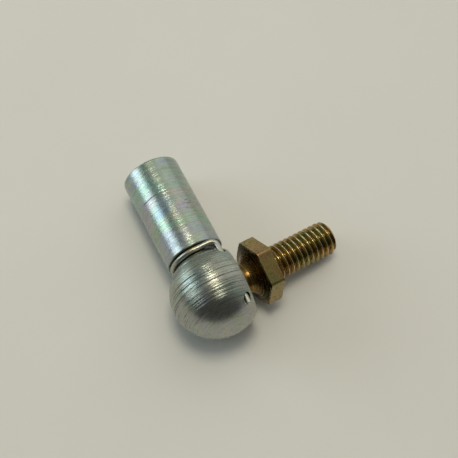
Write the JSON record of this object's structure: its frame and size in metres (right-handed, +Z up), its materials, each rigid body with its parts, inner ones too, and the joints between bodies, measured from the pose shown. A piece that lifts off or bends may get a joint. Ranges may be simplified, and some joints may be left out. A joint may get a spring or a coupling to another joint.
{
  "type": "angle ball joint",
  "caption": "Angle ball joint: round shank with a threaded blind hole, ball-shaped head with a wire safety clip, and a hexagon ball stud with a screw thread.",
  "frame": {"origin": "middle of the footprint, on the ground that the joint lies on", "axes": "+X from the shank's end towards the head, +Y out of the head's flat face, +Z up"},
  "size_m": [0.0328, 0.0302, 0.015],
  "materials": {
    "socket_zinc": "bright zinc plate over fine turning marks, faint blue and green tint",
    "stud_zinc": "yellow zinc plate, gold to olive",
    "clip_steel": "plated spring wire",
    "ring_steel": "bare spring wire"
  },
  "bodies": {
    "socket": {"ball_socket": "socket_zinc", "safety_clip": "clip_steel"},
    "ring": {"snap_ring": "ring_steel"},
    "stud": {"ball_stud": "stud_zinc"}
  },
  "joints": [
    {"name": "swing", "type": "hinge", "parent": "socket", "child": "ring", "pos_m": [0.00892, -0.00764, 0.0075], "axis": [0, 1, 0], "continuous": true},
    {"name": "tilt", "type": "hinge", "parent": "ring", "child": "stud", "pos_m": [0.00892, -0.00764, 0.0075], "axis": [-0.9391, 0, 0.3438], "range_deg": [-30.18, 5.82]}
  ]
}
